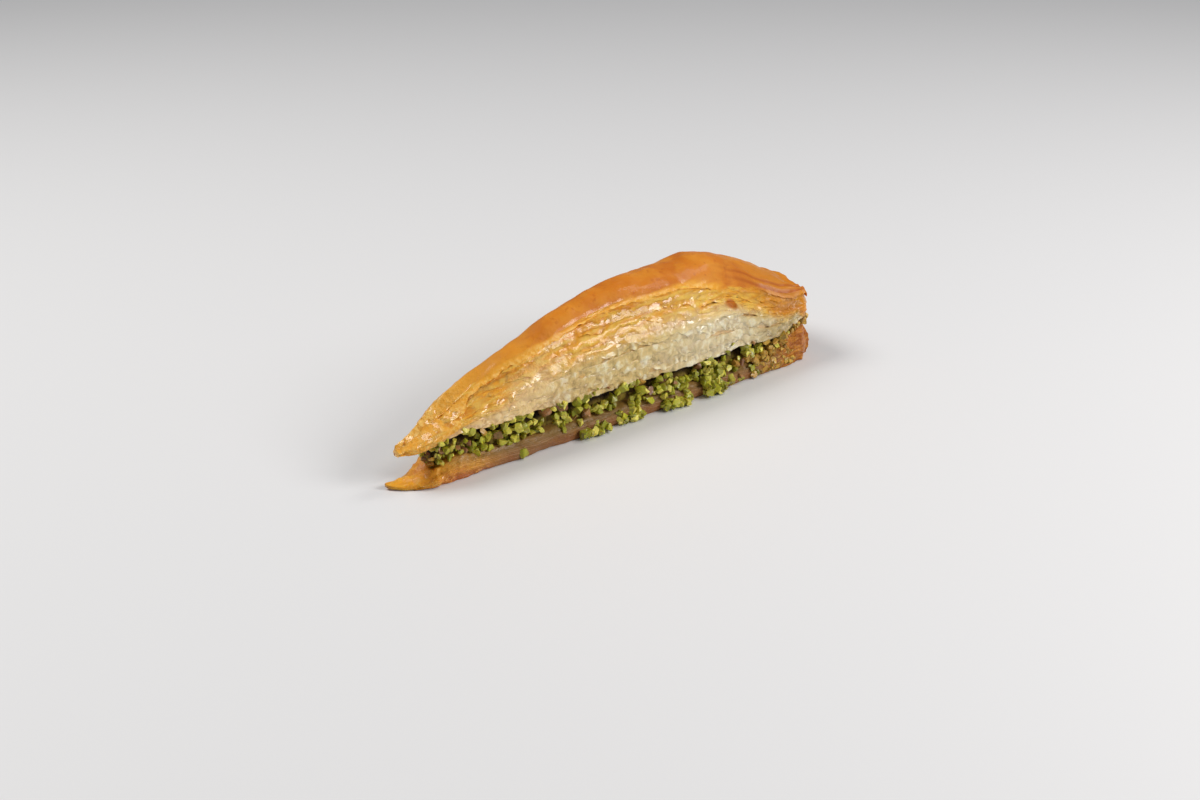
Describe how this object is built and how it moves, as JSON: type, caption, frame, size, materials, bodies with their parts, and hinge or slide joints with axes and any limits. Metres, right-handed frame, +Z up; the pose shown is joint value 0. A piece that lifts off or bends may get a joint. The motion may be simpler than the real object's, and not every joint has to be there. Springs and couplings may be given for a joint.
{
  "type": "baklava slice",
  "caption": "Long wedge of layered pistachio pastry: puffed browned leaves over a bed of chopped nuts and a thin soaked base, cut from a round tray.",
  "frame": {"origin": "on the flat underside, halfway between the tip and the broad end, on the middle line", "axes": "+X along the middle line towards the broad end, +Z up out of the underside, -Y towards the cut side with the fallen crumbs"},
  "size_m": [0.1767, 0.0481, 0.0446],
  "materials": {
    "top_pastry": "browned glazed pastry leaves, satin",
    "pistachio_filling": "chopped pistachio, moist",
    "bottom_pastry": "pastry leaves soaked in syrup, glossy"
  },
  "bodies": {
    "root": {"top_pastry": "top_pastry", "pistachio_filling": "pistachio_filling", "bottom_pastry": "bottom_pastry"}
  },
  "joints": []
}
